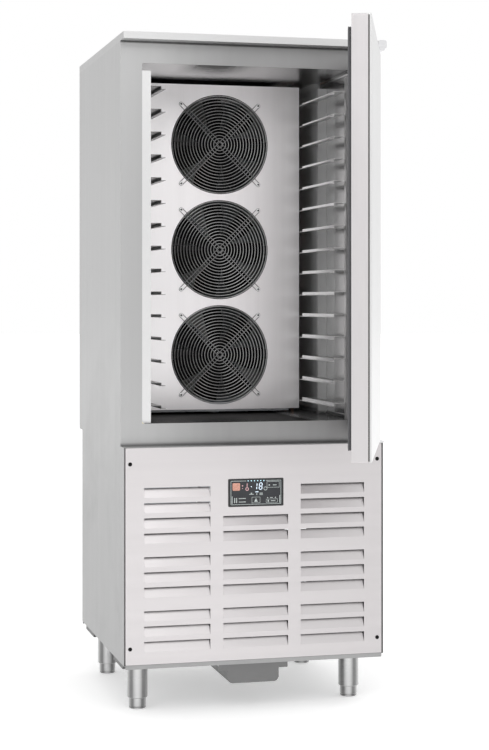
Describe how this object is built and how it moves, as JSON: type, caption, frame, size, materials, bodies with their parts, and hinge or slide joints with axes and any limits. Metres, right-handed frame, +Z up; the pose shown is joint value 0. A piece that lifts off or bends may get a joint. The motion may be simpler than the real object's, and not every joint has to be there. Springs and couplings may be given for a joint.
{
  "type": "blast chiller",
  "caption": "Upright blast chiller: insulated tray chamber with rack rails, guarded fans and a side-hinged door, over a louvred compressor compartment on levelling feet.",
  "frame": {"origin": "on the floor, in the middle of the area that the chiller covers with its door ajar", "axes": "+X to the right seen from the front, +Y to the back, +Z up"},
  "size_m": [0.811, 1.5489, 2.017],
  "materials": {
    "body_steel": "satin",
    "panel_steel": "satin",
    "frame_steel": "satin",
    "liner_steel": "satin",
    "fan_panel_steel": "satin",
    "rack_steel": "satin",
    "door_steel": "satin",
    "door_inner_steel": "satin",
    "leg_steel": "satin",
    "foot_steel": "satin",
    "tray_steel": "satin",
    "hinge_steel": "satin",
    "galvanised": "matte",
    "guard_wire": "polished",
    "dark_screws": "satin",
    "black_screws": "satin",
    "plate_paint": "matte",
    "motor_paint": "satin",
    "compressor_paint": "satin",
    "box_paint": "matte",
    "coil_fins": "satin",
    "copper": "satin",
    "foam": "matte",
    "black_plastic": "satin",
    "display_glass": "polished",
    "key_plastic": "satin",
    "fan_plastic": "matte",
    "bush_plastic": "matte",
    "break_plastic": "matte",
    "drain_plastic": "matte",
    "gland_plastic": "matte",
    "gasket_rubber": "matte",
    "mount_rubber": "matte"
  },
  "bodies": {
    "cabinet": {"left_side_panel": "body_steel", "right_side_panel": "body_steel", "top_cap": "body_steel", "back_panel": "galvanised", "front_frame": "frame_steel", "chamber_liner": "liner_steel", "insulation_foam": "foam", "compartment_ceiling": "galvanised", "lower_casing": "body_steel", "louvred_front_panel": "panel_steel", "front_panel_screws": "black_screws", "control_bezel": "black_plastic", "control_glass": "display_glass", "controller_box": "black_plastic", "rear_vent_panel": "galvanised", "base_plate": "galvanised", "leg_plates": "plate_paint", "leg_sleeves": "leg_steel", "tray_runners": "galvanised", "rack_uprights": "rack_steel", "left_rails": "rack_steel", "right_rails": "rack_steel", "fan_panel": "fan_panel_steel", "fan_guards": "guard_wire", "guard_screws": "dark_screws", "fan_motors": "motor_paint", "evaporator_coil": "coil_fins", "evaporator_drain_pan": "galvanised", "drain_pipe": "drain_plastic", "compressor": "compressor_paint", "compressor_mounts": "mount_rubber", "condenser_coil": "coil_fins", "condenser_shroud": "galvanised", "condenser_motor": "motor_paint", "receiver": "compressor_paint", "electrical_box": "box_paint", "refrigerant_pipes": "copper", "cable_gland": "gland_plastic", "upper_hinge": "hinge_steel", "lower_hinge": "hinge_steel"},
    "door": {"door_outer_pan": "door_steel", "door_thermal_break": "break_plastic", "door_inner_pan": "door_inner_steel", "door_foam": "foam", "door_gasket": "gasket_rubber", "door_hinge_bushes": "bush_plastic"},
    "impeller_upper": {"impeller_upper": "fan_plastic"},
    "impeller_middle": {"impeller_middle": "fan_plastic"},
    "impeller_lower": {"impeller_lower": "fan_plastic"},
    "condenser_impeller": {"condenser_impeller": "fan_plastic"},
    "drip_tray": {"drip_tray": "tray_steel"},
    "foot_front_left": {"foot_front_left": "foot_steel"},
    "foot_front_right": {"foot_front_right": "foot_steel"},
    "foot_rear_left": {"foot_rear_left": "foot_steel"},
    "foot_rear_right": {"foot_rear_right": "foot_steel"},
    "key_left": {"key_left": "key_plastic"},
    "key_centre": {"key_centre": "key_plastic"},
    "key_right": {"key_right": "key_plastic"}
  },
  "joints": [
    {"name": "door_hinge", "type": "hinge", "parent": "cabinet", "child": "door", "pos_m": [0.383, -0.048, 1.4], "axis": [0, 0, 1], "range_deg": [-69.4, 50]},
    {"name": "impeller_upper_spin", "type": "hinge", "parent": "cabinet", "child": "impeller_upper", "pos_m": [0, 0.426, 1.73], "axis": [0, 1, 0], "continuous": true},
    {"name": "impeller_middle_spin", "type": "hinge", "parent": "cabinet", "child": "impeller_middle", "pos_m": [0, 0.426, 1.39], "axis": [0, 1, 0], "continuous": true},
    {"name": "impeller_lower_spin", "type": "hinge", "parent": "cabinet", "child": "impeller_lower", "pos_m": [0, 0.426, 1.05], "axis": [0, 1, 0], "continuous": true},
    {"name": "condenser_impeller_spin", "type": "hinge", "parent": "cabinet", "child": "condenser_impeller", "pos_m": [-0.11, 0.109, 0.392], "axis": [0, 1, 0], "continuous": true},
    {"name": "drip_tray_slide", "type": "slide", "parent": "cabinet", "child": "drip_tray", "axis": [0, -1, 0], "range_m": [0, 0.25]},
    {"name": "foot_front_left_screw_out", "type": "slide", "parent": "cabinet", "child": "foot_front_left", "axis": [0, 0, -1], "range_m": [0, 0.03]},
    {"name": "foot_front_right_screw_out", "type": "slide", "parent": "cabinet", "child": "foot_front_right", "axis": [0, 0, -1], "range_m": [0, 0.03]},
    {"name": "foot_rear_left_screw_out", "type": "slide", "parent": "cabinet", "child": "foot_rear_left", "axis": [0, 0, -1], "range_m": [0, 0.03]},
    {"name": "foot_rear_right_screw_out", "type": "slide", "parent": "cabinet", "child": "foot_rear_right", "axis": [0, 0, -1], "range_m": [0, 0.03]},
    {"name": "key_left_press", "type": "slide", "parent": "cabinet", "child": "key_left", "axis": [0, 1, 0], "range_m": [0, 0.0006], "stiffness_N_per_m": 400},
    {"name": "key_centre_press", "type": "slide", "parent": "cabinet", "child": "key_centre", "axis": [0, 1, 0], "range_m": [0, 0.0006], "stiffness_N_per_m": 400},
    {"name": "key_right_press", "type": "slide", "parent": "cabinet", "child": "key_right", "axis": [0, 1, 0], "range_m": [0, 0.0006], "stiffness_N_per_m": 400}
  ]
}
